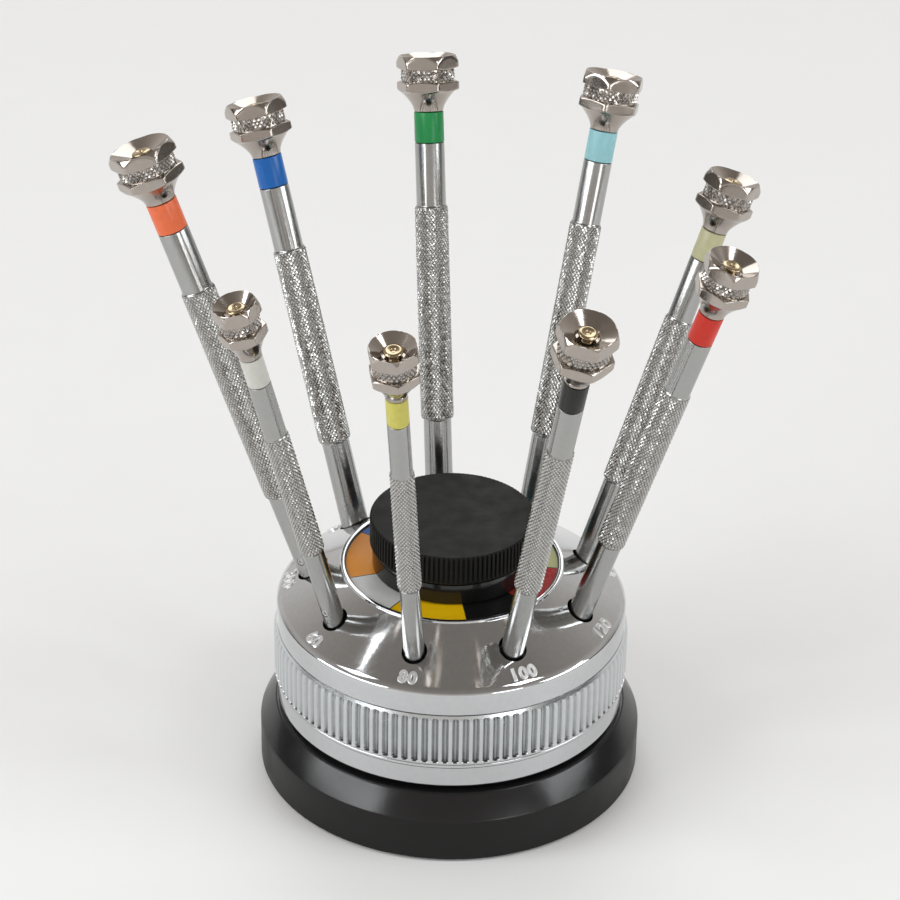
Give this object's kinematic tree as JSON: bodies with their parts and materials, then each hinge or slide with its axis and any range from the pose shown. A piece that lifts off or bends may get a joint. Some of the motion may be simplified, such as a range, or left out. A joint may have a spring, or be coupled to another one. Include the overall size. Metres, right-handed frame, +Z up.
{
  "type": "precision screwdriver set",
  "caption": "Watchmaker's screwdrivers with swivel heads and coloured rings, leaning in a turning chromed stand with a weighted black foot and a ribbed cap over spare blades.",
  "frame": {"origin": "centre of the stand's underside, on the axis the drum turns about", "axes": "+Z up along the drum's axis; -Y faces the front, towards the yellow and black drivers"},
  "size_m": [0.1233, 0.1136, 0.1307],
  "materials": {
    "black_foot": "gloss black",
    "pad_rubber": "matte",
    "ballast_iron": "as cast",
    "washer_plastic": "satin",
    "steel": "ground",
    "chrome": "polished",
    "nickel": "warm nickel plate",
    "brass": "polished",
    "label": "printed colour sectors",
    "magazine_plastic": "matte",
    "black_hub": "gloss",
    "black_cap": "matte",
    "ring_060": "gloss coloured sleeve",
    "ring_080": "gloss coloured sleeve",
    "ring_100": "gloss coloured sleeve",
    "ring_120": "gloss coloured sleeve",
    "ring_140": "gloss coloured sleeve",
    "ring_160": "gloss coloured sleeve",
    "ring_200": "gloss coloured sleeve",
    "ring_250": "gloss coloured sleeve",
    "ring_300": "gloss coloured sleeve"
  },
  "bodies": {
    "base": {"foot": "black_foot", "foot_pad": "pad_rubber", "ballast_disc": "ballast_iron", "glide_washer": "washer_plastic", "spindle_screw": "steel"},
    "turntable": {"drum": "chrome", "grip_band": "chrome", "drum_base": "chrome", "base_screws": "steel", "dial_label": "label", "magazine": "magazine_plastic", "spare_blades": "steel"},
    "cap_collar": {"cap_hub": "black_hub"},
    "cap": {"selector_cap": "black_cap"},
    "driver_060": {"handle_060": "chrome", "colour_ring_060": "ring_060", "screws_060": "brass", "blade_060": "steel"},
    "head_060": {"swivel_head_060": "nickel"},
    "driver_080": {"handle_080": "chrome", "colour_ring_080": "ring_080", "screws_080": "brass", "blade_080": "steel"},
    "head_080": {"swivel_head_080": "nickel"},
    "driver_100": {"handle_100": "chrome", "colour_ring_100": "ring_100", "screws_100": "brass", "blade_100": "steel"},
    "head_100": {"swivel_head_100": "nickel"},
    "driver_120": {"handle_120": "chrome", "colour_ring_120": "ring_120", "screws_120": "brass", "blade_120": "steel"},
    "head_120": {"swivel_head_120": "nickel"},
    "driver_140": {"handle_140": "chrome", "colour_ring_140": "ring_140", "screws_140": "brass", "blade_140": "steel"},
    "head_140": {"swivel_head_140": "nickel"},
    "driver_160": {"handle_160": "chrome", "colour_ring_160": "ring_160", "screws_160": "brass", "blade_160": "steel"},
    "head_160": {"swivel_head_160": "nickel"},
    "driver_200": {"handle_200": "chrome", "colour_ring_200": "ring_200", "screws_200": "brass", "blade_200": "steel"},
    "head_200": {"swivel_head_200": "nickel"},
    "driver_250": {"handle_250": "chrome", "colour_ring_250": "ring_250", "screws_250": "brass", "blade_250": "steel"},
    "head_250": {"swivel_head_250": "nickel"},
    "driver_300": {"handle_300": "chrome", "colour_ring_300": "ring_300", "screws_300": "brass", "blade_300": "steel"},
    "head_300": {"swivel_head_300": "nickel"}
  },
  "joints": [
    {"name": "turntable_spin", "type": "hinge", "parent": "base", "child": "turntable", "pos_m": [0, 0, 0.0144], "axis": [0, 0, 1], "continuous": true},
    {"name": "cap_lift", "type": "slide", "parent": "turntable", "child": "cap_collar", "axis": [0, 0, 1], "range_m": [0, 0.02]},
    {"name": "cap_turn", "type": "hinge", "parent": "cap_collar", "child": "cap", "pos_m": [0, 0, 0.0491], "axis": [0, 0, 1], "continuous": true},
    {"name": "driver_060_lift", "type": "slide", "parent": "turntable", "child": "driver_060", "axis": [-0.2311, -0.1155, 0.9661], "range_m": [0, 0.03]},
    {"name": "head_060_spin", "type": "hinge", "parent": "driver_060", "child": "head_060", "pos_m": [-0.03903, -0.02409, 0.10994], "axis": [-0.2311, -0.1155, 0.9661], "continuous": true},
    {"name": "driver_080_lift", "type": "slide", "parent": "turntable", "child": "driver_080", "axis": [-0.0544, -0.2113, 0.9759], "range_m": [0, 0.03]},
    {"name": "head_080_spin", "type": "hinge", "parent": "driver_080", "child": "head_080", "pos_m": [-0.01103, -0.04195, 0.11171], "axis": [-0.0544, -0.2113, 0.9759], "continuous": true},
    {"name": "driver_100_lift", "type": "slide", "parent": "turntable", "child": "driver_100", "axis": [0.13, -0.2528, 0.9588], "range_m": [0, 0.03]},
    {"name": "head_100_spin", "type": "hinge", "parent": "driver_100", "child": "head_100", "pos_m": [0.02208, -0.04516, 0.11766], "axis": [0.13, -0.2528, 0.9588], "continuous": true},
    {"name": "driver_120_lift", "type": "slide", "parent": "turntable", "child": "driver_120", "axis": [0.289, -0.1034, 0.9517], "range_m": [0, 0.03]},
    {"name": "head_120_spin", "type": "hinge", "parent": "driver_120", "child": "head_120", "pos_m": [0.04827, -0.01993, 0.11767], "axis": [0.289, -0.1034, 0.9517], "continuous": true},
    {"name": "driver_140_lift", "type": "slide", "parent": "turntable", "child": "driver_140", "axis": [0.3134, 0.1514, 0.9375], "range_m": [0, 0.03]},
    {"name": "head_140_spin", "type": "hinge", "parent": "driver_140", "child": "head_140", "pos_m": [0.05131, 0.01911, 0.11493], "axis": [0.3134, 0.1514, 0.9375], "continuous": true},
    {"name": "driver_160_lift", "type": "slide", "parent": "turntable", "child": "driver_160", "axis": [0.1615, 0.2621, 0.9514], "range_m": [0, 0.03]},
    {"name": "head_160_spin", "type": "hinge", "parent": "driver_160", "child": "head_160", "pos_m": [0.02983, 0.04541, 0.12383], "axis": [0.1615, 0.2621, 0.9514], "continuous": true},
    {"name": "driver_200_lift", "type": "slide", "parent": "turntable", "child": "driver_200", "axis": [-0.0407, 0.3183, 0.9471], "range_m": [0, 0.03]},
    {"name": "head_200_spin", "type": "hinge", "parent": "driver_200", "child": "head_200", "pos_m": [-0.00597, 0.05499, 0.12299], "axis": [-0.0407, 0.3183, 0.9471], "continuous": true},
    {"name": "driver_250_lift", "type": "slide", "parent": "turntable", "child": "driver_250", "axis": [-0.2311, 0.2549, 0.9389], "range_m": [0, 0.03]},
    {"name": "head_250_spin", "type": "hinge", "parent": "driver_250", "child": "head_250", "pos_m": [-0.03878, 0.04069, 0.11927], "axis": [-0.2311, 0.2549, 0.9389], "continuous": true},
    {"name": "driver_300_lift", "type": "slide", "parent": "turntable", "child": "driver_300", "axis": [-0.3437, 0.0907, 0.9347], "range_m": [0, 0.03]},
    {"name": "head_300_spin", "type": "hinge", "parent": "driver_300", "child": "head_300", "pos_m": [-0.05792, 0.01039, 0.12387], "axis": [-0.3437, 0.0907, 0.9347], "continuous": true}
  ]
}
